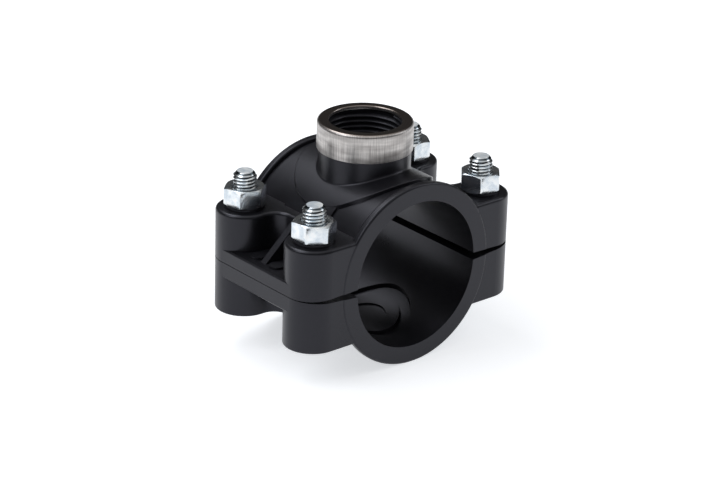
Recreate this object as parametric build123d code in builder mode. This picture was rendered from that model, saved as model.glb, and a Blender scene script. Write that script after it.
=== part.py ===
"""Tapping saddle: two moulded halves clamp round a pipe, a threaded outlet stands on the upper one.

Frame: the pipe runs along Y, the outlet points up +Z, and the bolted wings reach out along X.
The origin is the middle of the pipe bore. Lengths are millimetres.
"""
import os
from math import cos, radians, sqrt, tan

from build123d import *

# ---- the pipe and the outlet that the saddle joins
PIPE_BORE_R = 31.75  # a 63 mm pipe with running clearance
THREAD_MAJOR_R = 16.62  # G 1 inch internal thread, at its root
PASSAGE_R = 13.0  # drill way from the thread to the pipe
THREAD_DEPTH = 19.5

# ---- moulded halves
BODY_LENGTH = 70.6  # along the pipe
BARREL_WALL = 6.0
RIM_HEIGHT = 1.8  # raised collars at both ends
RIM_WIDTH = 3.6
RIM_ROUND = 1.0
BELT_WIDTH = 26.8  # low band round the middle of the upper half
BELT_HEIGHT = 1.0
PAD_R = 29.0  # round pad under the outlet neck
PAD_HEIGHT = 1.5
PAD_ROUND = 0.35
FOOT_FLAT_WIDTH = 10.0  # small flats under the lower collars

# ---- outlet neck and its steel ring
NECK_R = 19.55
NECK_TOP_Z = 57.1
NECK_ROOT_ROUND = 1.0
RING_WALL = 0.65
RING_SKIRT = 12.2
RING_ROUND = 1.4
RING_FIT = 0.05
RING_HOLE_CLEAR = 0.08

# ---- seal under the outlet
SEAL_INNER_R = 16.8
SEAL_WIDTH = 4.7
SEAL_GROOVE_DEPTH = 3.4
SEAL_FIT = 0.12
SEAL_SINK = 0.05
LOCATOR_R = 11.2  # shallow round recess opposite the outlet
LOCATOR_DEPTH = 0.8
LOWER_GROOVE_DEPTH = 1.6

# ---- bolted wings
BOLT_X = 45.3
BOSS_R = 12.2
WING_SETBACK = 0.3  # from the collars to the bosses
UPPER_BOSS_TOP = 22.3
LOWER_BOSS_DEPTH = 22.3
LOWER_DROP = 0.9  # slack: the lower half hangs this far below the clamped place
BRIDGE_X = 37.0  # outer wall of the web between two bosses
BRIDGE_ROUND = 6.5
WING_TOP_ROUND = 1.5
WING_FOOT_ROUND = 0.6
FLANGE_THICK = 6.2
FLANGE_EDGE_ROUND = 0.6
RIB_THICK = 3.2
RIB_FOOT_X = 53.2
RIB_TOP_DROP = 1.6
BUTTON_R = 3.2
BUTTON_HEIGHT = 1.0
BUTTON_X = 51.0
BUTTON_Y = 6.2
SEAT_R = 8.6
SEAT_HEIGHT = 1.2
GAP_AT_BORE = 2.4
GAP_AT_EDGE = 0.3
HOLE_CLEAR = 0.5

# ---- M10 bolts and nuts
BOLT_R = 5.0
BOLT_LENGTH = 55.0
HEAD_FLATS = 17.0
HEAD_HEIGHT = 6.4
NUT_HEIGHT = 8.0
NUT_FIT = 0.06
HEAD_FIT = 0.2
TIP_CHAMFER = 1.0
HEX_BEVEL_ANGLE = 30.0
NUT_TURNS = {"near_left": 25.0, "far_left": 39.0, "near_right": 49.0, "far_right": 2.0}

# ---- sizes that follow
HALF_LENGTH = BODY_LENGTH / 2
BARREL_R = PIPE_BORE_R + BARREL_WALL
RIM_R = BARREL_R + RIM_HEIGHT
PAD_SURFACE_R = BARREL_R + PAD_HEIGHT
WING_X = BOLT_X + BOSS_R
WING_LENGTH = BODY_LENGTH - 2 * WING_SETBACK
BOLT_Y = WING_LENGTH / 2 - BOSS_R
HOLE_R = BOLT_R + HOLE_CLEAR
SEAL_OUTER_R = SEAL_INNER_R + SEAL_WIDTH
BOLT_FOOT_Z = -LOWER_BOSS_DEPTH - LOWER_DROP
HEAD_SEAT_Z = BOLT_FOOT_Z + HEAD_HEIGHT
NUT_SEAT_Z = UPPER_BOSS_TOP + SEAT_HEIGHT
RING_TOP_Z = NECK_TOP_Z + RING_WALL
RING_INNER_R = NECK_R + RING_FIT
RING_OUTER_R = RING_INNER_R + RING_WALL
RING_HOLE_R = THREAD_MAJOR_R + RING_HOLE_CLEAR
THREAD_END_Z = NECK_TOP_Z - THREAD_DEPTH
FOOT_Z = sqrt(RIM_R**2 - (FOOT_FLAT_WIDTH / 2) ** 2)
BOLT_SPOTS = {
    "near_left": (-BOLT_X, -BOLT_Y),
    "far_left": (-BOLT_X, BOLT_Y),
    "near_right": (BOLT_X, -BOLT_Y),
    "far_right": (BOLT_X, BOLT_Y),
}
TALL = 2 * (RING_TOP_Z + RIM_R)  # longer than anything that it has to cut

os.makedirs("parts", exist_ok=True)


def barrel(belt_height, seam):
    """Section of the barrel wall with its end collars, to be turned round the pipe axis.

    It lies above or below the pipe axis, as the sign of seam says, so its seam is cut away later.
    """
    collar_y = HALF_LENGTH - RIM_WIDTH
    belt_y = BELT_WIDTH / 2
    outer = [(RIM_R, HALF_LENGTH), (RIM_R, collar_y), (BARREL_R, collar_y)]
    if belt_height > 0:
        outer += [(BARREL_R, belt_y), (BARREL_R + belt_height, belt_y)]
    lower = [(x, -y) for x, y in reversed(outer)]
    inner = [(PIPE_BORE_R, -HALF_LENGTH), (PIPE_BORE_R, HALF_LENGTH)]
    with BuildSketch(Plane((0, 0, 0), x_dir=(0, 0, seam), z_dir=(-seam, 0, 0))) as profile:
        with BuildLine():
            Polyline(*outer, *lower, *inner, close=True)
        make_face()
        collar_tips = profile.vertices().group_by(Axis.X)[-1]
        fillet(collar_tips, RIM_ROUND)
    with BuildPart() as turned:
        add(profile.sketch)
        revolve(axis=Axis.Y)
    return turned.part


def wing_outline():
    """Plan of both wings: four bosses joined by a web beside the barrel, with hollow corners."""
    with BuildSketch(Plane.XY) as outline:
        Rectangle(2 * BRIDGE_X, WING_LENGTH)
        with GridLocations(0, 2 * BOLT_Y, 1, 2):
            Rectangle(2 * BOLT_X, 2 * BOSS_R)
        with GridLocations(2 * BOLT_X, 2 * BOLT_Y, 2, 2):
            Circle(BOSS_R)
        hollow = [
            v for v in outline.vertices()
            if abs(abs(v.X) - BRIDGE_X) < GAP_AT_EDGE and abs(v.Y) < BOLT_Y
        ]
        fillet(hollow, BRIDGE_ROUND)
    return outline.sketch


def flange(extra):
    """Plate that carries the parting face, its free rim eased; extra reaches below z = 0."""
    with BuildPart() as plate:
        with BuildSketch(Plane.XY.offset(-extra)):
            RectangleRounded(2 * WING_X, WING_LENGTH, BOSS_R)
        extrude(amount=FLANGE_THICK + extra)
        free_sides = plate.faces().group_by(lambda f: abs(f.center().X))[-1]
        chamfer([face.edges().sort_by(Axis.Z)[-1] for face in free_sides], FLANGE_EDGE_ROUND)
    return plate.part


def rib_outline(boss_height):
    """Side view of the two gussets from the webs down to the flanges."""
    with BuildSketch(Plane.XZ) as outline:
        with BuildLine():
            Polyline(
                (BRIDGE_X - RIB_THICK, 0),
                (RIB_FOOT_X, 0),
                (RIB_FOOT_X, FLANGE_THICK),
                (BRIDGE_X, boss_height - RIB_TOP_DROP),
                (BRIDGE_X - RIB_THICK, boss_height - RIB_TOP_DROP),
                close=True,
            )
        make_face()
        mirror(about=Plane.YZ)
    return outline.sketch


def parting_cut(at_bore, at_edge):
    """Everything under a parting face that rises from the wing's edge towards the pipe bore."""
    reach = WING_X + BOSS_R
    slope = (at_bore - at_edge) / (WING_X - PIPE_BORE_R)
    middle = at_bore + slope * PIPE_BORE_R
    face_line = [(-reach, at_edge), (-WING_X, at_edge), (0, middle), (WING_X, at_edge), (reach, at_edge)]
    with BuildPart() as cut:
        with BuildSketch(Plane.XZ):
            with BuildLine():
                Polyline(*face_line, (reach, -TALL), (-reach, -TALL), close=True)
            make_face()
        extrude(amount=BODY_LENGTH, both=True)
    return cut.part


def ring_round_the_outlet(inner_r, outer_r, from_r, to_r):
    """Ring about Z, bounded inside and outside by two cylinders about the pipe axis."""
    with BuildPart() as ring:
        Cylinder(to_r, TALL, rotation=(90, 0, 0))
        Cylinder(from_r, TALL, rotation=(90, 0, 0), mode=Mode.SUBTRACT)
        Cylinder(outer_r, TALL, mode=Mode.INTERSECT)
        if inner_r > 0:
            Cylinder(inner_r, TALL, mode=Mode.SUBTRACT)
        split(bisect_by=Plane.XY, keep=Keep.TOP)
    return ring.part


def hexagon(flats, height, bevel_top, bevel_bottom):
    """Hexagonal prism standing on z = 0, its corners bevelled by a cone on the chosen ends."""
    flat_r = flats / 2
    corner_r = flat_r / cos(radians(HEX_BEVEL_ANGLE))
    drop = (corner_r - flat_r) * tan(radians(HEX_BEVEL_ANGLE))
    bottom = [(flat_r, 0), (corner_r, drop)] if bevel_bottom else [(corner_r, 0)]
    top = [(corner_r, height - drop), (flat_r, height)] if bevel_top else [(corner_r, height)]
    with BuildPart() as prism:
        with BuildSketch(Plane.XY):
            RegularPolygon(flat_r, 6, major_radius=False)
        extrude(amount=height)
        with BuildSketch(Plane.XZ):
            with BuildLine():
                Polyline((0, 0), *bottom, *top, (0, height), close=True)
            make_face()
        revolve(axis=Axis.Z, mode=Mode.INTERSECT)
    return prism.part


# ---- outlet: pad and neck, blended, before they join the upper half
with BuildPart() as outlet_form:
    Cylinder(PAD_SURFACE_R, TALL, rotation=(90, 0, 0))
    Cylinder(PAD_R, TALL, mode=Mode.INTERSECT)
    split(bisect_by=Plane.XY, keep=Keep.TOP)
    pad_rim = outlet_form.faces().filter_by(GeomType.CYLINDER).sort_by(Axis.Z)[-1].edges()
    fillet([e for e in pad_rim if e.bounding_box().min.Z > BARREL_WALL], PAD_ROUND)
    with BuildSketch(Plane.XY):
        Circle(NECK_R)
    extrude(amount=NECK_TOP_Z)
    neck_faces = [
        f for f in outlet_form.faces().filter_by(GeomType.CYLINDER)
        if abs(f.bounding_box().max.Z - NECK_TOP_Z) < RING_FIT
    ]
    neck_root = neck_faces[0].edges().sort_by(lambda e: e.center().Z)[0]
    fillet(neck_root, NECK_ROOT_ROUND)

# ---- upper half: wings, pad, neck, outlet way and seal groove
with BuildPart() as upper_saddle:
    with BuildSketch(Plane.XY):
        add(wing_outline())
    extrude(amount=UPPER_BOSS_TOP)
    fillet(upper_saddle.faces().sort_by(Axis.Z)[-1].edges(), WING_TOP_ROUND)
    add(flange(0))
    with BuildSketch(Plane.XZ):
        add(rib_outline(UPPER_BOSS_TOP))
    extrude(amount=RIB_THICK / 2, both=True)
    with BuildSketch(Plane.XY.offset(FLANGE_THICK)):
        with GridLocations(2 * BUTTON_X, 2 * BUTTON_Y, 2, 2):
            Circle(BUTTON_R)
    extrude(amount=BUTTON_HEIGHT)
    with BuildSketch(Plane.XY.offset(UPPER_BOSS_TOP)):
        with GridLocations(2 * BOLT_X, 2 * BOLT_Y, 2, 2):
            Circle(SEAT_R)
    extrude(amount=SEAT_HEIGHT)
    add(barrel(BELT_HEIGHT, -1))
    add(outlet_form.part)
    Cylinder(PIPE_BORE_R, TALL, rotation=(90, 0, 0), mode=Mode.SUBTRACT)
    with BuildSketch(Plane.XY):
        with GridLocations(2 * BOLT_X, 2 * BOLT_Y, 2, 2):
            Circle(HOLE_R)
        Circle(PASSAGE_R)
    extrude(amount=TALL, mode=Mode.SUBTRACT)
    with BuildSketch(Plane.XY.offset(THREAD_END_Z)):
        Circle(THREAD_MAJOR_R)
    extrude(amount=TALL, mode=Mode.SUBTRACT)
    add(
        ring_round_the_outlet(
            SEAL_INNER_R, SEAL_OUTER_R, PIPE_BORE_R / 2, PIPE_BORE_R + SEAL_GROOVE_DEPTH
        ),
        mode=Mode.SUBTRACT,
    )
    add(parting_cut(GAP_AT_BORE / 2, GAP_AT_EDGE / 2), mode=Mode.SUBTRACT)
upper_saddle.part.label = "upper_saddle"
export_step(upper_saddle.part, "parts/upper_saddle.step")

# ---- lower half: modelled upside down round its own bore axis, then turned and hung in place
with BuildPart() as lower_saddle:
    with BuildSketch(Plane.XY.offset(-LOWER_DROP)):
        add(wing_outline())
    extrude(amount=LOWER_BOSS_DEPTH + LOWER_DROP)
    fillet(lower_saddle.faces().sort_by(Axis.Z)[-1].edges(), WING_FOOT_ROUND)
    add(flange(LOWER_DROP))
    with BuildSketch(Plane.XZ):
        add(rib_outline(LOWER_BOSS_DEPTH))
    extrude(amount=RIB_THICK / 2, both=True)
    add(barrel(0, -1))
    Cylinder(PIPE_BORE_R, TALL, rotation=(90, 0, 0), mode=Mode.SUBTRACT)
    with BuildSketch(Plane.XY):
        with GridLocations(2 * BOLT_X, 2 * BOLT_Y, 2, 2):
            Circle(HOLE_R)
    extrude(amount=TALL, both=True, mode=Mode.SUBTRACT)
    with BuildSketch(Plane.XY.offset(LOWER_BOSS_DEPTH - HEAD_HEIGHT)):
        with GridLocations(2 * BOLT_X, 2 * BOLT_Y, 2, 2):
            RegularPolygon(HEAD_FLATS / 2 + HEAD_FIT, 6, major_radius=False)
    extrude(amount=HEAD_HEIGHT, mode=Mode.SUBTRACT)
    add(
        ring_round_the_outlet(
            SEAL_INNER_R, SEAL_OUTER_R, PIPE_BORE_R / 2, PIPE_BORE_R + LOWER_GROOVE_DEPTH
        ),
        mode=Mode.SUBTRACT,
    )
    add(
        ring_round_the_outlet(0, LOCATOR_R, PIPE_BORE_R / 2, PIPE_BORE_R + LOCATOR_DEPTH),
        mode=Mode.SUBTRACT,
    )
    add(parting_cut(GAP_AT_BORE / 2, GAP_AT_EDGE / 2 - LOWER_DROP), mode=Mode.SUBTRACT)
    with BuildSketch(Plane.XY.offset(FOOT_Z)):
        Rectangle(RIM_R, 2 * BODY_LENGTH)
    extrude(amount=RIM_R, mode=Mode.SUBTRACT)
lower_part = lower_saddle.part.rotate(Axis.X, 180).moved(Location((0, 0, -LOWER_DROP)))
lower_part.label = "lower_saddle"
export_step(lower_part, "parts/lower_saddle.step")

# ---- pressed steel ring over the neck: a skirt, a rolled edge and a flat top with the mouth
with BuildPart() as steel_ring:
    with BuildSketch(Plane.XZ) as ring_section:
        with BuildLine():
            Polyline(
                (RING_INNER_R, RING_TOP_Z - RING_SKIRT), (RING_OUTER_R, RING_TOP_Z - RING_SKIRT),
                (RING_OUTER_R, RING_TOP_Z), (RING_HOLE_R, RING_TOP_Z),
                (RING_HOLE_R, NECK_TOP_Z), (RING_INNER_R, NECK_TOP_Z), close=True,
            )
        make_face()
        rolled = ring_section.vertices().sort_by(lambda v: v.X + v.Y)[-1]
        fillet(rolled, RING_ROUND)
    revolve(axis=Axis.Z)
steel_ring.part.label = "steel_ring"
export_step(steel_ring.part, "parts/steel_ring.step")

# ---- rubber seal, pressed flush with the pipe bore
seal_part = ring_round_the_outlet(
    SEAL_INNER_R + SEAL_FIT,
    SEAL_OUTER_R - SEAL_FIT,
    PIPE_BORE_R + SEAL_SINK,
    PIPE_BORE_R + SEAL_GROOVE_DEPTH - SEAL_FIT,
)
seal_part.label = "seal"
export_step(seal_part, "parts/seal.step")

# ---- bolts, heads down in the hexagonal pockets of the lower half
for spot, (x, y) in BOLT_SPOTS.items():
    with BuildPart() as bolt:
        with BuildSketch(Plane.XY.offset(HEAD_SEAT_Z)):
            Circle(BOLT_R)
        extrude(amount=BOLT_LENGTH)
        chamfer(bolt.edges().sort_by(Axis.Z)[-1], TIP_CHAMFER)
        head = hexagon(HEAD_FLATS, HEAD_HEIGHT, False, True)
        add(head.moved(Location((0, 0, BOLT_FOOT_Z))))
    bolt_part = bolt.part.moved(Location((x, y, 0)))
    bolt_part.label = "bolt_" + spot
    export_step(bolt_part, "parts/bolt_" + spot + ".step")

# ---- nuts on the seats of the upper bosses
for spot, (x, y) in BOLT_SPOTS.items():
    with BuildPart() as nut:
        add(hexagon(HEAD_FLATS, NUT_HEIGHT, True, True))
        Cylinder(BOLT_R + NUT_FIT, TALL, mode=Mode.SUBTRACT)
    turned_nut = nut.part.rotate(Axis.Z, NUT_TURNS[spot])
    nut_part = turned_nut.moved(Location((x, y, NUT_SEAT_Z)))
    nut_part.label = "nut_" + spot
    export_step(nut_part, "parts/nut_" + spot + ".step")
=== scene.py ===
# %% [markdown]
# # Tapping saddle
#
# A tapping saddle clamps round a plastic water pipe and gives it a threaded branch. Two black moulded
# halves carry the load, four zinc-plated bolts and nuts pull them together, and a pressed stainless ring
# keeps the outlet neck from splitting when a fitting is screwed in.
#
# The moulded halves come from the CAD frame as they are and only get a finish here. What a mould drawing
# leaves out is made below with bmesh: the rolled ring, the eased nuts and the helical threads.

from math import cos, pi, radians, sin, tan

import bmesh
import bpy
from mathutils import Matrix, Vector


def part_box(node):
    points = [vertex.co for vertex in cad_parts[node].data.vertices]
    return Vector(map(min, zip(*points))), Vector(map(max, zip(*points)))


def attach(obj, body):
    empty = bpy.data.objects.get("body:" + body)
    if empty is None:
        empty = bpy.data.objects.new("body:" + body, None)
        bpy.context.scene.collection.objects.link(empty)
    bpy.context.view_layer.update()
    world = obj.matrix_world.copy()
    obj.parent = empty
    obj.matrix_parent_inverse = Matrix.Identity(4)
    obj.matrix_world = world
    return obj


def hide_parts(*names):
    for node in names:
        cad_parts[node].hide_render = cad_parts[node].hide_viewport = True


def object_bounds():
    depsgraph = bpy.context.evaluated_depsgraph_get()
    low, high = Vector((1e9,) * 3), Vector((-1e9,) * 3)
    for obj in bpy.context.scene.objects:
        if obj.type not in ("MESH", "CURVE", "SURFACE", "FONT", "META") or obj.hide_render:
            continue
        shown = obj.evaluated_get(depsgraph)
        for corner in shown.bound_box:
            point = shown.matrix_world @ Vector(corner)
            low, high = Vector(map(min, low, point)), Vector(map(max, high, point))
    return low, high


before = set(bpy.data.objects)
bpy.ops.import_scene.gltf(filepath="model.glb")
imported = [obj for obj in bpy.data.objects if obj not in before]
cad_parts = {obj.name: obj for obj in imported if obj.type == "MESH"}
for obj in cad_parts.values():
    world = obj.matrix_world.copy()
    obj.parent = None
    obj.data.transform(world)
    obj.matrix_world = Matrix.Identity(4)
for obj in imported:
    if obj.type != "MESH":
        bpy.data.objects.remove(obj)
cad_box = [list(corner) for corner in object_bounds()]
print("CAD box, in metres:", cad_box)

# %% [markdown]
# Every length below is in metres, because that is the frame's unit. Dimensions of real hardware are
# easier to read in millimetres, so one short name turns them into metres.

# %% Units and the places that the frame gives
MM = 0.001
SPOTS = ("near_left", "far_left", "near_right", "far_right")


def middle_of(node):
    """Centre of a CAD node's box at rest."""
    low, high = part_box(node)
    return (low + high) / 2


ring_low, ring_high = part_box("steel_ring")
ring_outer = (ring_high.x - ring_low.x) / 2
print("ring skirt:", round(ring_outer / MM, 2), "mm radius, top at", round(ring_high.z / MM, 2), "mm")

# %% [markdown]
# A finished piece's object stays at the origin, with its place in its mesh, as the CAD nodes do. So one
# helper takes a bmesh that is already in place and makes the object, and a second one smooths it except
# at sharp corners, and lets it ride on its CAD body.


# %% Helpers: from bmesh to a riding piece
def to_object(bm, name):
    """Write bm to the mesh of a new object in the scene, and free it."""
    mesh = bpy.data.meshes.new(name)
    bm.to_mesh(mesh)
    bm.free()
    made = bpy.data.objects.new(name, mesh)
    bpy.context.scene.collection.objects.link(made)
    return made


def finish_piece(bm, name, body, material, sharp_angle=35.0):
    """Write bm to a new object that rides on a body and takes a slot's finish."""
    piece = to_object(bm, name)
    piece.data.shade_smooth()
    piece.data.set_sharp_from_angle(angle=radians(sharp_angle))
    piece.data.materials.append(material)
    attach(piece, body)
    print(name, "faces:", len(piece.data.polygons))
    return piece


# %% [markdown]
# Turned and threaded pieces start as the flat outline of their section. This helper draws it as a chain
# of edges, which the spin operator then carries round the Z axis.


# %% Helper: a section to spin
def add_outline(bm, points, closed=True):
    """Add points of a section, given as (radius, height), as a chain of edges in the XZ plane."""
    verts = [bm.verts.new((radius, 0, height)) for radius, height in points]
    pairs = list(zip(verts, verts[1:])) + ([(verts[-1], verts[0])] if closed else [])
    edges = [bm.edges.new(pair) for pair in pairs]
    return verts, edges


# %% [markdown]
# ## Finishes
#
# Moulded plastic, rubber and plated steel all have a faint random relief, only at different scales. One
# shader node group makes it once: it puts out a mask between 0 and 1 and a height for bump. Each material
# then places the group with its own scale and strength.


# %% Shared group: fine grain
def make_grain_group():
    """Two sizes of noise in one group: cloudy patches and a fine grain."""
    group = bpy.data.node_groups.new("fine grain", "ShaderNodeTree")
    face = group.interface
    face.new_socket("Patch Scale", in_out="INPUT", socket_type="NodeSocketFloat").default_value = 60
    face.new_socket("Grain Scale", in_out="INPUT", socket_type="NodeSocketFloat").default_value = 2500
    face.new_socket("Patch", in_out="OUTPUT", socket_type="NodeSocketFloat")
    face.new_socket("Height", in_out="OUTPUT", socket_type="NodeSocketFloat")
    nodes, links = group.nodes, group.links
    inputs, outputs = nodes.new("NodeGroupInput"), nodes.new("NodeGroupOutput")
    place = nodes.new("ShaderNodeTexCoord")
    patch = nodes.new("ShaderNodeTexNoise")
    patch.inputs["Detail"].default_value = 4
    grain = nodes.new("ShaderNodeTexNoise")
    grain.inputs["Detail"].default_value = 2
    for noise, scale in ((patch, "Patch Scale"), (grain, "Grain Scale")):
        links.new(place.outputs["Object"], noise.inputs["Vector"])
        links.new(inputs.outputs[scale], noise.inputs["Scale"])
    links.new(patch.outputs["Fac"], outputs.inputs["Patch"])
    links.new(grain.outputs["Fac"], outputs.inputs["Height"])
    return group


grain_group = make_grain_group()
print("shader group:", grain_group.name, "with", len(grain_group.nodes), "nodes")


# %% [markdown]
# Steel that was drawn through a die has streaks along the way it was drawn. On the ring they run up the
# skirt, so the pattern is wound round the outlet's axis: the angle about Z is stretched out and the
# height is left almost still. Across the flat top the same angle gives short radial marks.


# %% Shared group: drawn streaks about the Z axis
def make_streak_group():
    """Streaks that run along Z, spread evenly round the axis."""
    group = bpy.data.node_groups.new("drawn streaks", "ShaderNodeTree")
    face = group.interface
    face.new_socket("Streaks", in_out="INPUT", socket_type="NodeSocketFloat").default_value = 40
    face.new_socket("Along", in_out="INPUT", socket_type="NodeSocketFloat").default_value = 60
    face.new_socket("Streak", in_out="OUTPUT", socket_type="NodeSocketFloat")
    nodes, links = group.nodes, group.links
    inputs, outputs = nodes.new("NodeGroupInput"), nodes.new("NodeGroupOutput")
    place = nodes.new("ShaderNodeTexCoord")
    split = nodes.new("ShaderNodeSeparateXYZ")
    angle = nodes.new("ShaderNodeMath")
    angle.operation = "ARCTAN2"
    across, along = nodes.new("ShaderNodeMath"), nodes.new("ShaderNodeMath")
    across.operation = along.operation = "MULTIPLY"
    join = nodes.new("ShaderNodeCombineXYZ")
    noise = nodes.new("ShaderNodeTexNoise")
    noise.inputs["Scale"].default_value = 1
    noise.inputs["Detail"].default_value = 5
    links.new(place.outputs["Object"], split.inputs["Vector"])
    links.new(split.outputs["Y"], angle.inputs[0])
    links.new(split.outputs["X"], angle.inputs[1])
    links.new(angle.outputs["Value"], across.inputs[0])
    links.new(inputs.outputs["Streaks"], across.inputs[1])
    links.new(split.outputs["Z"], along.inputs[0])
    links.new(inputs.outputs["Along"], along.inputs[1])
    links.new(across.outputs["Value"], join.inputs["X"])
    links.new(along.outputs["Value"], join.inputs["Y"])
    links.new(join.outputs["Vector"], noise.inputs["Vector"])
    links.new(noise.outputs["Fac"], outputs.inputs["Streak"])
    return group


streak_group = make_streak_group()
print("shader group:", streak_group.name, "with", len(streak_group.nodes), "nodes")


# %% [markdown]
# Each finish is one Principled shader, and they vary over the surface in the same few ways: a mask that
# becomes a range of roughness, a mask that fades two colours, and a height that bumps the normal. Each
# of these helpers adds one such step to a material.


# %% Helpers for materials
def new_material(name, base_color, metallic, roughness):
    """A material with one Principled shader, whose steady values sit on its own sockets."""
    material = bpy.data.materials.new(name)
    material.use_nodes = True
    shader = material.node_tree.nodes["Principled BSDF"]
    shader.inputs["Base Color"].default_value = (*base_color, 1)
    shader.inputs["Metallic"].default_value = metallic
    shader.inputs["Roughness"].default_value = roughness
    print("material:", name)
    return material, shader


def place_group(material, group, **values):
    """Put a shared group in a material and set its inputs; underscores stand for spaces."""
    node = material.node_tree.nodes.new("ShaderNodeGroup")
    node.node_tree = group
    for name, value in values.items():
        node.inputs[name.replace("_", " ")].default_value = value
    return node


def spread(material, value, low, high, target, start=0.3, end=0.7):
    """Map a 0 to 1 mask to a range of values and lead it to a shader input."""
    tree = material.node_tree
    ramp = tree.nodes.new("ShaderNodeMapRange")
    ramp.inputs["From Min"].default_value = start
    ramp.inputs["From Max"].default_value = end
    ramp.inputs["To Min"].default_value = low
    ramp.inputs["To Max"].default_value = high
    tree.links.new(value, ramp.inputs["Value"])
    tree.links.new(ramp.outputs["Result"], target)
    return ramp


def blend_colors(material, mask, first, second, target, start=0.35, end=0.65):
    """Fade between two colours by a mask and lead the result to a colour input."""
    tree = material.node_tree
    ramp = tree.nodes.new("ShaderNodeValToRGB")
    ramp.color_ramp.elements[0].position = start
    ramp.color_ramp.elements[0].color = (*first, 1)
    ramp.color_ramp.elements[1].position = end
    ramp.color_ramp.elements[1].color = (*second, 1)
    tree.links.new(mask, ramp.inputs["Fac"])
    tree.links.new(ramp.outputs["Color"], target)
    return ramp


def bump(material, height, strength, depth, shader):
    """Turn a height into a bumped normal; depth is in metres."""
    tree = material.node_tree
    node = tree.nodes.new("ShaderNodeBump")
    node.inputs["Strength"].default_value = strength
    node.inputs["Distance"].default_value = depth
    tree.links.new(height, node.inputs["Height"])
    tree.links.new(node.outputs["Normal"], shader.inputs["Normal"])
    return node


# %% [markdown]
# **Moulded polypropylene.** The halves are black, with a satin skin that the mould's polish leaves. A
# flat black would look like paper, so the roughness drifts in soft clouds and a very fine grain breaks up
# the highlights.

# %% Moulded plastic
plastic, plastic_shader = new_material("moulded plastic", (0.007, 0.007, 0.0085), 0.0, 0.34)
plastic_shader.inputs["Specular IOR Level"].default_value = 0.42
plastic_shader.inputs["Specular Tint"].default_value = (0.88, 0.88, 1.0, 1)
plastic_grain = place_group(plastic, grain_group, Patch_Scale=45, Grain_Scale=2200)
spread(plastic, plastic_grain.outputs["Patch"], 0.27, 0.37, plastic_shader.inputs["Roughness"])
blend_colors(
    plastic, plastic_grain.outputs["Patch"], (0.0062, 0.0062, 0.0078), (0.0098, 0.0098, 0.0120),
    plastic_shader.inputs["Base Color"],
)
bump(plastic, plastic_grain.outputs["Height"], 0.25, 0.02 * MM, plastic_shader)

# %% [markdown]
# **Seal rubber.** It is as black as the plastic but matt, with a coarser relief.

# %% Seal rubber
rubber, rubber_shader = new_material("seal rubber", (0.010, 0.010, 0.010), 0.0, 0.7)
rubber_grain = place_group(rubber, grain_group, Patch_Scale=90, Grain_Scale=1500)
spread(rubber, rubber_grain.outputs["Patch"], 0.62, 0.78, rubber_shader.inputs["Roughness"])
bump(rubber, rubber_grain.outputs["Height"], 0.4, 0.03 * MM, rubber_shader)

# %% [markdown]
# ** Drawn stainless.** The ring is stamped from a thin sheet. It has a warm grey colour, and its skirt
# shows the drawing marks as bands of lighter and darker steel that also differ in polish. The flat top
# was never drawn through the die, so above the bend the height fades the finish to a smoother one, and
# its colour to a dark brown that is a painted reflection of the dim room.

# %% Drawn stainless steel
stainless, stainless_shader = new_material("drawn stainless", (0.45, 0.42, 0.40), 1.0, 0.3)
steel_tree = stainless.node_tree
bands = place_group(stainless, streak_group, Streaks=1.2, Along=420)
marks = place_group(stainless, streak_group, Streaks=60, Along=90)
worn = steel_tree.nodes.new("ShaderNodeMath")
worn.operation = "MULTIPLY"
steel_tree.links.new(bands.outputs["Streak"], worn.inputs[0])
steel_tree.links.new(marks.outputs["Streak"], worn.inputs[1])
bump(stainless, marks.outputs["Streak"], 0.2, 0.02 * MM, stainless_shader)

# %% Fade from the skirt to the flat top, with a painted dark reflection on the top
TOP_FADE = (ring_high.z - 0.5 * MM, ring_high.z - 0.05 * MM)
streaks_and_painted_top, polish = steel_tree.nodes.new("ShaderNodeMix"), steel_tree.nodes.new("ShaderNodeMix")
streaks_and_painted_top.data_type = "RGBA"
# The dark brown on the flat top is a painted reflection of the dim room, not the steel's colour.
streaks_and_painted_top.inputs["B"].default_value = (0.26, 0.215, 0.19, 1)
polish.inputs["B"].default_value = 0.16
blend_colors(
    stainless, worn.outputs["Value"], (0.27, 0.25, 0.24), (0.74, 0.71, 0.685), streaks_and_painted_top.inputs["A"], 0.12, 0.38,
)
spread(stainless, marks.outputs["Streak"], 0.32, 0.46, polish.inputs["A"])
steel_place = steel_tree.nodes.new("ShaderNodeTexCoord")
height = steel_tree.nodes.new("ShaderNodeSeparateXYZ")
steel_tree.links.new(steel_place.outputs["Object"], height.inputs["Vector"])
on_top = spread(stainless, height.outputs["Z"], 0, 1, streaks_and_painted_top.inputs["Factor"], *TOP_FADE)
steel_tree.links.new(on_top.outputs["Result"], polish.inputs["Factor"])
steel_tree.links.new(streaks_and_painted_top.outputs["Result"], stainless_shader.inputs["Base Color"])
steel_tree.links.new(polish.outputs["Result"], stainless_shader.inputs["Roughness"])
print("the top's finish starts at", round(TOP_FADE[0] / MM, 2), "mm")
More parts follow.
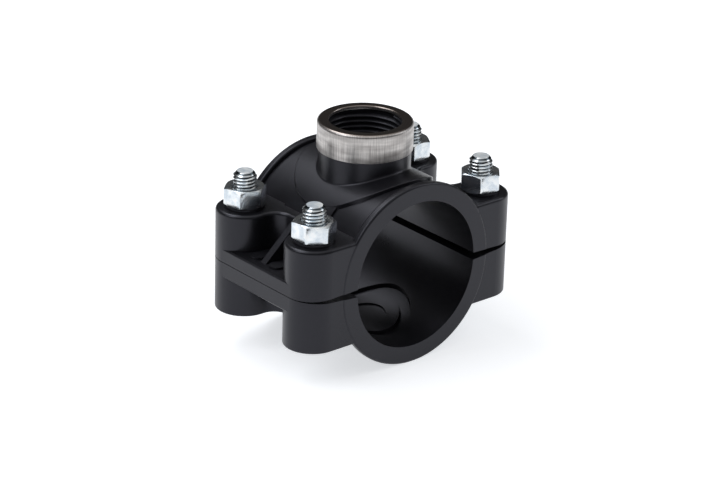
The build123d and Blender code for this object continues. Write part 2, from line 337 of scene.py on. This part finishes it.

# %% [markdown]
# ** Bright zinc plate.** Passivated zinc is a cool silver with faint patches of straw and blue. The
# crystals give it a fine sparkle, so the grain is stronger than on the other finishes. Two attributes on
# the bolts' meshes steer it: "groove" is 1 at a thread's root, where the colour is darkened as painted
# shade, and "sawn" is 1 on a bolt's end, which was cut and never polished.

# %% Zinc plate
zinc, zinc_shader = new_material("zinc plate", (0.66, 0.70, 0.74), 1.0, 0.22)
zinc_tree = zinc.node_tree
zinc_grain = place_group(zinc, grain_group, Patch_Scale=300, Grain_Scale=1300)
groove, sawn = zinc_tree.nodes.new("ShaderNodeAttribute"), zinc_tree.nodes.new("ShaderNodeAttribute")
groove.attribute_name, sawn.attribute_name = "groove", "sawn"
# The dark colour at a thread's root is painted shade.
painted_root_shade = zinc_tree.nodes.new("ShaderNodeMix")
painted_root_shade.data_type = "RGBA"
painted_root_shade.inputs["B"].default_value = (0.06, 0.075, 0.085, 1)
blend_colors(
    zinc, zinc_grain.outputs["Patch"], (0.60, 0.66, 0.71), (0.86, 0.88, 0.88), painted_root_shade.inputs["A"],
)
spread(zinc, groove.outputs["Fac"], 0, 1, painted_root_shade.inputs["Factor"], 0.45, 1)
zinc_tree.links.new(painted_root_shade.outputs["Result"], zinc_shader.inputs["Base Color"])
spread(zinc, sawn.outputs["Fac"], 0.20, 0.65, zinc_shader.inputs["Roughness"], 0, 1)
bump(zinc, zinc_grain.outputs["Height"], 0.6, 0.06 * MM, zinc_shader)

# %% [markdown]
# The two halves and the seal are shown as the frame gives them. The ring, the nuts and the bolts are
# replaced further down, but they get their finish too, so that no node of the frame is left bare.

# %% Give the CAD nodes their finish
FINISHES = {"upper_saddle": plastic, "lower_saddle": plastic, "seal": rubber, "steel_ring": stainless}
for spot in SPOTS:
    FINISHES["nut_" + spot] = zinc
    FINISHES["bolt_" + spot] = zinc
for node, finish in FINISHES.items():
    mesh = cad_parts[node].data
    mesh.materials.clear()
    mesh.materials.append(finish)
    print(node, "->", finish.name)

# %% [markdown]
# ## Stainless ring
#
# The ring is a shallow cap with its middle punched out and the punched edge turned down into the mouth.
# Its section is only a thin hook, so a full spin of that section about Z is the whole piece. The hook's
# corners are bent round small radii by bevelling the section's corner vertices before the spin; the hem
# gets a slight ease.

# %% Section of the ring
SHEET = 0.65 * MM
LIP_DROP = 1.5 * MM
MOUTH_R = 15.35 * MM
ring_top, skirt_bottom = ring_high.z, ring_low.z
section = [
    (MOUTH_R, ring_top - LIP_DROP), (MOUTH_R, ring_top), (ring_outer, ring_top),
    (ring_outer, skirt_bottom), (ring_outer - SHEET, skirt_bottom), (ring_outer - SHEET, ring_top - SHEET),
    (MOUTH_R + SHEET, ring_top - SHEET), (MOUTH_R + SHEET, ring_top - LIP_DROP),
]
ring_bm = bmesh.new()
corners, _ = add_outline(ring_bm, section)
print("ring section:", len(section), "corners")

# %% Round the corners, then spin the section
OUTER_BEND, INNER_BEND, LIP_BEND = 1.4 * MM, 0.6 * MM, 0.5 * MM
HEM_EASE = 0.12 * MM
RING_STEPS = 144
hem = [corners[0], corners[3], corners[4], corners[7]]
bends = (
    ([corners[2]], OUTER_BEND, 8), ([corners[5]], INNER_BEND, 5), ([corners[1]], LIP_BEND, 5),
    (hem, HEM_EASE, 2),
)
for bent, offset, segments in bends:
    bmesh.ops.bevel(
        ring_bm, geom=bent, offset=offset, affect="VERTICES", segments=segments, profile=0.5, material=-1,
    )
bmesh.ops.spin(
    ring_bm, geom=ring_bm.edges[:] + ring_bm.verts[:], cent=(0, 0, 0), axis=(0, 0, 1),
    angle=2 * pi, steps=RING_STEPS, use_merge=True,
)
bmesh.ops.recalc_face_normals(ring_bm, faces=ring_bm.faces[:])
ring = finish_piece(ring_bm, "ring_cap", "cap", stainless)
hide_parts("steel_ring")

# %% [markdown]
# ## Threads
#
# A screw thread is one tooth that climbs by one pitch in each turn. The spin operator can climb too: its
# dvec moves the copy a little along the axis at every step. So one helper spins an outline by any number
# of turns, and the outlet and the bolts only differ in the outline, the pitch and the turns.


# %% Helper: spin an outline into a helix
def climb(bm, outline, pitch, turns, steps_per_turn):
    """Sweep the vertices and edges of an outline up a helix about Z."""
    return bmesh.ops.spin(
        bm, geom=outline, cent=(0, 0, 0), axis=(0, 0, 1), dvec=(0, 0, pitch / steps_per_turn),
        angle=2 * pi * turns, steps=round(turns * steps_per_turn),
    )


# %% [markdown]
# The outlet has a parallel pipe thread. Its wall is the CAD's bore, so the piece here is only the ridge
# that stands inside it. The ridge's outline is closed, a little less than one pitch tall, and its back is
# sunk in the wall, so the turns never touch. It starts just under the mouth, where the mould leaves a
# short plain lead-in, and each end is capped.

# %% Thread inside the outlet
PIPE_PITCH = 2.309 * MM
PIPE_CREST = 15.15 * MM
PIPE_ROOT = 16.66 * MM
CREST_EASE = 0.20 * MM
PIPE_TURNS = 7
PIPE_STEPS = 96
LEAD_IN = 0.9 * MM
tooth_shares = (
    (PIPE_ROOT, 0.01), (PIPE_CREST + CREST_EASE, 0.36), (PIPE_CREST, 0.44),
    (PIPE_CREST, 0.56), (PIPE_CREST + CREST_EASE, 0.64), (PIPE_ROOT, 0.99),
)
thread_bottom = ring_top - SHEET - LEAD_IN - (PIPE_TURNS + 1) * PIPE_PITCH
outlet_bm = bmesh.new()
ridge, ridge_edges = add_outline(
    outlet_bm, [(radius, share * PIPE_PITCH + thread_bottom) for radius, share in tooth_shares],
)
swept = climb(outlet_bm, ridge + ridge_edges, PIPE_PITCH, PIPE_TURNS, PIPE_STEPS)
last = [item for item in swept["geom_last"] if isinstance(item, bmesh.types.BMVert)]
for end in (ridge, last):
    bmesh.ops.contextual_create(outlet_bm, geom=end)
bmesh.ops.recalc_face_normals(outlet_bm, faces=outlet_bm.faces[:])
print("open edges of the ridge:", sum(edge.is_boundary for edge in outlet_bm.edges))
finish_piece(outlet_bm, "outlet_thread", "cap", plastic, 60)

# %% [markdown]
# ## Nuts and bolts
#
# A nut starts as a hexagonal bar. On a lathe its corners are turned down by a cone, which leaves the
# curved edge that every nut shows. So the hexagon is intersected with a turned blank that has those
# cones and, for a nut, the countersunk hole. A bolt's head is the same without the hole.

# %% Sizes of the fasteners
BOLT_PITCH = 1.5 * MM
BOLT_R = 4.95 * MM
BOLT_ROOT = 4.08 * MM
NUT_FLATS = 16.0 * MM
HEAD_FLATS = 17.0 * MM
HEAD_HEIGHT = 6.4 * MM
BORE_CLEARANCE = 0.10 * MM
COUNTERSINK = 0.7 * MM


# %% Helper: the turned blank of a nut or a head
CONE_ANGLE = radians(30)
CROWN = 0.985
OVERREACH = 1.02
BLANK_STEPS = 96
SEAM = 0.001 * MM


def turned_blank(name, flats, corner_radius, height, bore):
    """A round blank with coned rims and, where bore is given, a countersunk hole."""
    reach = corner_radius * OVERREACH
    crown = flats / 2 * CROWN
    drop = (reach - crown) * tan(CONE_ANGLE)
    outline = [(crown, 0), (reach, drop), (reach, height - drop), (crown, height)]
    if bore:
        outline += [
            (bore + COUNTERSINK, height), (bore, height - COUNTERSINK),
            (bore, COUNTERSINK), (bore + COUNTERSINK, 0),
        ]
    else:
        outline = [(0, 0)] + outline + [(0, height)]
    turned = bmesh.new()
    add_outline(turned, outline)
    bmesh.ops.spin(
        turned, geom=turned.edges[:] + turned.verts[:], cent=(0, 0, 0), axis=(0, 0, 1),
        angle=2 * pi, steps=BLANK_STEPS, use_merge=True,
    )
    bmesh.ops.remove_doubles(turned, verts=turned.verts[:], dist=SEAM)
    bmesh.ops.recalc_face_normals(turned, faces=turned.faces[:])
    return to_object(turned, name + "_turned")


# %% Helper: a hexagon turned down by cones
EDGE_EASE = 0.18 * MM
EASED_FROM = radians(25)


def hexagon_prism(name, flats, height, bore):
    """Mesh of a hexagon that stands on z = 0, with coned corners and eased edges."""
    corner_radius = flats / 2 / cos(pi / 6)
    bar = bmesh.new()
    bmesh.ops.create_cone(
        bar, cap_ends=True, segments=6, radius1=corner_radius, radius2=corner_radius, depth=height,
        matrix=Matrix.Translation((0, 0, height / 2)) @ Matrix.Rotation(pi / 6, 4, "Z"),
    )
    prism = to_object(bar, name + "_prism")
    turned = turned_blank(name, flats, corner_radius, height, bore)
    cut = prism.modifiers.new("cut", "BOOLEAN")
    cut.operation = "INTERSECT"
    cut.solver = "EXACT"
    cut.object = turned
    ease = prism.modifiers.new("ease", "BEVEL")
    ease.width = EDGE_EASE
    ease.segments = 2
    ease.limit_method = "ANGLE"
    ease.angle_limit = EASED_FROM
    ready = bpy.data.meshes.new_from_object(
        prism.evaluated_get(bpy.context.evaluated_depsgraph_get())
    )
    for helper in (prism, turned):
        bpy.data.objects.remove(helper)
    print(name, "hexagon faces:", len(ready.polygons))
    return ready


# %% Shapes that all four fasteners share
nut_low, nut_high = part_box("nut_near_right")
nut_shape = hexagon_prism("nut", NUT_FLATS, nut_high.z - nut_low.z, BOLT_R + BORE_CLEARANCE)
head_shape = hexagon_prism("bolt_head", HEAD_FLATS, HEAD_HEIGHT, 0)

# %% [markdown]
# The nuts were run down by hand, so each stopped at its own angle. The angles are those of the CAD
# nodes that they stand for, to within three degrees.

# %% Nuts on their seats
NUT_TURNS = {"near_left": 28.0, "far_left": 39.0, "near_right": 49.0, "far_right": 2.0}
for spot in SPOTS:
    center = middle_of("nut_" + spot)
    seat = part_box("nut_" + spot)[0].z
    nut_bm = bmesh.new()
    nut_bm.from_mesh(nut_shape)
    turn = Matrix.Rotation(radians(NUT_TURNS[spot]), 3, "Z")
    bmesh.ops.rotate(nut_bm, verts=nut_bm.verts[:], cent=(0, 0, 0), matrix=turn)
    bmesh.ops.translate(nut_bm, verts=nut_bm.verts[:], vec=(center.x, center.y, seat))
    nut = finish_piece(nut_bm, "hex_nut_" + spot, "nut_" + spot, zinc, 25)
    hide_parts("nut_" + spot)

# %% [markdown]
# A bolt is a helix between a plain shank and a chamfered tip. The helix is made a little too long and cut
# flat at both ends with a plane. The chamfer draws in whatever stands outside a cone, and the tip is
# filled. Two values are stored at every vertex for the finish: how deep it lies in the groove, and
# whether it is on the sawn end.

# %% Helper: the threaded end of a bolt
THREAD_LENGTH = 30 * MM
TIP_CHAMFER = 1.6 * MM
CREST_FLAT = 0.20 * MM
BOLT_STEPS = 48
TOUCH = 0.01 * MM
HELIX_SEAM = 0.002 * MM
half = BOLT_PITCH / 2
bolt_tooth = (
    (BOLT_ROOT, 0), (BOLT_R, half - CREST_FLAT / 2), (BOLT_R, half + CREST_FLAT / 2), (BOLT_ROOT, BOLT_PITCH),
)


def threaded_end(tip):
    """A bmesh of the thread on the Z axis, up to its tip, chamfered, capped and marked."""
    start = tip - THREAD_LENGTH
    bm = bmesh.new()
    verts, edges = add_outline(bm, [(r, h + start - BOLT_PITCH) for r, h in bolt_tooth], closed=False)
    climb(bm, verts + edges, BOLT_PITCH, THREAD_LENGTH / BOLT_PITCH + 2, BOLT_STEPS)
    bmesh.ops.remove_doubles(bm, verts=bm.verts[:], dist=HELIX_SEAM)
    for height, outward in ((tip, 1), (start, -1)):
        bmesh.ops.bisect_plane(
            bm, geom=bm.verts[:] + bm.edges[:] + bm.faces[:],
            plane_co=(0, 0, height), plane_no=(0, 0, outward), clear_outer=True,
        )
    for vert in bm.verts:
        radius = vert.co.xy.length
        limit = BOLT_R - TIP_CHAMFER + (tip - vert.co.z)
        if radius > limit:
            vert.co.xy *= limit / radius
    rim = [edge for edge in bm.edges if edge.is_boundary and edge.verts[0].co.z > tip - TOUCH]
    bmesh.ops.contextual_create(bm, geom=rim)
    groove_depth = bm.verts.layers.float.new("groove")
    sawn_end = bm.verts.layers.float.new("sawn")
    for vert in bm.verts:
        at_tip = vert.co.z > tip - TOUCH
        vert[sawn_end] = 1.0 if at_tip else 0.0
        vert[groove_depth] = 0.0 if at_tip else (BOLT_R - vert.co.xy.length) / (BOLT_R - BOLT_ROOT)
    return bm


# %% [markdown]
# The shank is a plain tube from the thread down to the head. The head is the shared hexagon, moved to the
# foot of the bolt. All three are one piece, as a forged bolt is.

# %% Bolts with a rolled thread
SHANK_GAP = 0.05 * MM
for spot in SPOTS:
    low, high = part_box("bolt_" + spot)
    center = middle_of("bolt_" + spot)
    bolt_bm = threaded_end(high.z)
    shank = [
        (BOLT_R, high.z - THREAD_LENGTH + SHANK_GAP), (BOLT_R, low.z + HEAD_HEIGHT - SHANK_GAP),
    ]
    shank_verts, shank_edges = add_outline(bolt_bm, shank, closed=False)
    bmesh.ops.spin(
        bolt_bm, geom=shank_edges + shank_verts, cent=(0, 0, 0), axis=(0, 0, 1),
        angle=2 * pi, steps=BOLT_STEPS, use_merge=True,
    )
    head_mesh = head_shape.copy()
    head_mesh.transform(Matrix.Translation((0, 0, low.z)))
    bolt_bm.from_mesh(head_mesh)
    bmesh.ops.recalc_face_normals(bolt_bm, faces=bolt_bm.faces[:])
    bmesh.ops.translate(bolt_bm, verts=bolt_bm.verts[:], vec=(center.x, center.y, 0))
    bolt = finish_piece(bolt_bm, "hex_bolt_" + spot, "base", zinc, 30)
    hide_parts("bolt_" + spot)

# %% [markdown]
# ## Floor, light and camera
#
# The saddle stands on a pale sweep. For camera rays the floor adds a little light of its own, so it
# reaches white where nothing shades it and still keeps the soft shadow under the saddle. Farther out
# the lamps reach it less and the glow grows, so no horizon shows. Mirror rays get an even glow of about
# half that strength, because polished steel should show that room.

# %% Floor
FLOOR_HALF = 6
floor_bm = bmesh.new()
bmesh.ops.create_grid(floor_bm, x_segments=1, y_segments=1, size=FLOOR_HALF)
bmesh.ops.translate(floor_bm, verts=floor_bm.verts[:], vec=(0, 0, cad_box[0][2]))
floor = to_object(floor_bm, "floor")
print("floor at", round(cad_box[0][2] / MM, 2), "mm")

# %% Paper that glows a little for camera and mirror rays
FLOOR_GLOW, FLOOR_MIRROR = 0.64, 0.55
FADE_START, FADE_END = 0.15, 0.5
paper = bpy.data.materials.new("pale floor")
paper.use_nodes = True
paper_nodes, paper_links = paper.node_tree.nodes, paper.node_tree.links
paper_nodes.remove(paper_nodes["Principled BSDF"])
diffuse = paper_nodes.new("ShaderNodeBsdfDiffuse")
diffuse.inputs["Color"].default_value = (0.8, 0.8, 0.8, 1)
glow = paper_nodes.new("ShaderNodeEmission")
glow.inputs["Color"].default_value = (0.95, 0.97, 1, 1)
ray = paper_nodes.new("ShaderNodeLightPath")
mirror_glow = paper_nodes.new("ShaderNodeMath")
mirror_glow.operation = "MULTIPLY"
mirror_glow.inputs[1].default_value = FLOOR_MIRROR
shaded_point = paper_nodes.new("ShaderNodeNewGeometry")
from_saddle = paper_nodes.new("ShaderNodeVectorMath")
from_saddle.operation = "LENGTH"
fade = paper_nodes.new("ShaderNodeMapRange")
fade.inputs["From Min"].default_value = FADE_START
fade.inputs["From Max"].default_value = FADE_END
fade.inputs["To Min"].default_value = FLOOR_GLOW
fade.inputs["To Max"].default_value = 1.0
paper_links.new(shaded_point.outputs["Position"], from_saddle.inputs[0])
paper_links.new(from_saddle.outputs["Value"], fade.inputs["Value"])
power = paper_nodes.new("ShaderNodeMath")
power.operation = "MULTIPLY_ADD"
paper_links.new(fade.outputs["Result"], power.inputs[1])
both = paper_nodes.new("ShaderNodeAddShader")
paper_links.new(ray.outputs["Is Glossy Ray"], mirror_glow.inputs[0])
paper_links.new(ray.outputs["Is Camera Ray"], power.inputs[0])
paper_links.new(mirror_glow.outputs["Value"], power.inputs[2])
paper_links.new(power.outputs["Value"], glow.inputs["Strength"])
paper_links.new(diffuse.outputs["BSDF"], both.inputs[0])
paper_links.new(glow.outputs["Emission"], both.inputs[1])
paper_links.new(both.outputs["Shader"], paper_nodes["Material Output"].inputs["Surface"])
floor.data.materials.append(paper)

# %% [markdown]
# Black plastic and plated steel take their look from what they mirror. A real studio is dim near the
# horizon and pale overhead, so the world has that slow gradient for mirror rays, a low even fill for
# everything else, and plain white for the camera.

# %% World: white to the eye, a dim room to mirrors, a mild fill for everything else
WORLD_FILL = 0.32
ROOM_LOW, ROOM_HIGH = 0.06, 0.9
RISE_START, RISE_END = 0.55, 1.0
world = bpy.data.worlds.new("studio")
bpy.context.scene.world = world
world.use_nodes = True
sky = world.node_tree
background = sky.nodes["Background"]
background.inputs["Color"].default_value = (1, 1, 1, 1)
sky_ray = sky.nodes.new("ShaderNodeLightPath")
sky_way = sky.nodes.new("ShaderNodeTexCoord")
sky_split = sky.nodes.new("ShaderNodeSeparateXYZ")
room = sky.nodes.new("ShaderNodeMapRange")
room.inputs["From Min"].default_value = RISE_START
room.inputs["From Max"].default_value = RISE_END
room.inputs["To Min"].default_value = ROOM_LOW
room.inputs["To Max"].default_value = ROOM_HIGH
mirrored, seen_sky = sky.nodes.new("ShaderNodeMix"), sky.nodes.new("ShaderNodeMix")
mirrored.inputs["A"].default_value = WORLD_FILL
seen_sky.inputs["B"].default_value = 1.0
sky.links.new(sky_way.outputs["Generated"], sky_split.inputs["Vector"])
sky.links.new(sky_split.outputs["Z"], room.inputs["Value"])
sky.links.new(sky_ray.outputs["Is Glossy Ray"], mirrored.inputs["Factor"])
sky.links.new(room.outputs["Result"], mirrored.inputs["B"])
sky.links.new(sky_ray.outputs["Is Camera Ray"], seen_sky.inputs["Factor"])
sky.links.new(mirrored.outputs["Result"], seen_sky.inputs["A"])
sky.links.new(seen_sky.outputs["Result"], background.inputs["Strength"])
print("world:", len(sky.nodes), "nodes")


# %% [markdown]
# Three softboxes shape the black plastic: one at the left as the main light, a weaker one at the right,
# and one high behind that draws the rims. They are large and near, so their edges stay soft.


# %% Lamps
LAMP_COLOR = (0.94, 0.96, 1)


def softbox(name, azimuth, elevation, distance, size, watts):
    """A rectangular area lamp that looks at the saddle from an azimuth and elevation in degrees."""
    a, e = radians(azimuth), radians(elevation)
    away = Vector((sin(a) * cos(e), -cos(a) * cos(e), sin(e)))
    lamp = bpy.data.lights.new(name, "AREA")
    lamp.shape = "RECTANGLE"
    lamp.size, lamp.size_y = size
    lamp.energy = watts
    lamp.color = LAMP_COLOR
    holder = bpy.data.objects.new(name, lamp)
    holder.location = away * distance
    holder.rotation_euler = away.to_track_quat("Z", "Y").to_euler()
    bpy.context.scene.collection.objects.link(holder)
    print("softbox", name, "at", [round(x, 2) for x in holder.location])


softbox("key", -105, 48, 0.9, (0.35, 0.6), 2.3)
softbox("right", 62, 30, 1.0, (0.3, 0.6), 1.5)
softbox("back", -170, 60, 0.9, (0.5, 0.35), 2.0)

# %% [markdown]
# The camera stands to the front and left of the saddle, a little above it, with a long lens, so the
# front rim of the bore and the one behind it look almost the same size. It leans by less than two
# degrees, as a hand-held camera does.

# %% Camera
AZIMUTH = radians(-40.630)
ELEVATION = radians(23.475)
ROLL = radians(1.649)
DISTANCE = 1.2248
SENSOR_WIDTH = 36
FOCAL_LENGTH = 144.68
AIM_RIGHT = -0.762 * MM
AIM_UP = 2.618 * MM
back = Vector((sin(AZIMUTH) * cos(ELEVATION), -cos(AZIMUTH) * cos(ELEVATION), sin(ELEVATION)))
level_right = Vector((cos(AZIMUTH), sin(AZIMUTH), 0))
level_up = back.cross(level_right)
right = level_right * cos(ROLL) + level_up * sin(ROLL)
up = level_up * cos(ROLL) - level_right * sin(ROLL)
lens = bpy.data.cameras.new("camera")
lens.sensor_width = SENSOR_WIDTH
lens.lens = FOCAL_LENGTH
camera = bpy.data.objects.new("camera", lens)
eye = back * DISTANCE + right * AIM_RIGHT + up * AIM_UP
camera.matrix_world = Matrix.Translation(eye) @ Matrix((right, up, back)).transposed().to_4x4()
bpy.context.scene.collection.objects.link(camera)
bpy.context.scene.camera = camera
bpy.context.scene.view_settings.view_transform = "Standard"
print("camera at", [round(x, 3) for x in eye], "lens", round(lens.lens, 1), "mm")
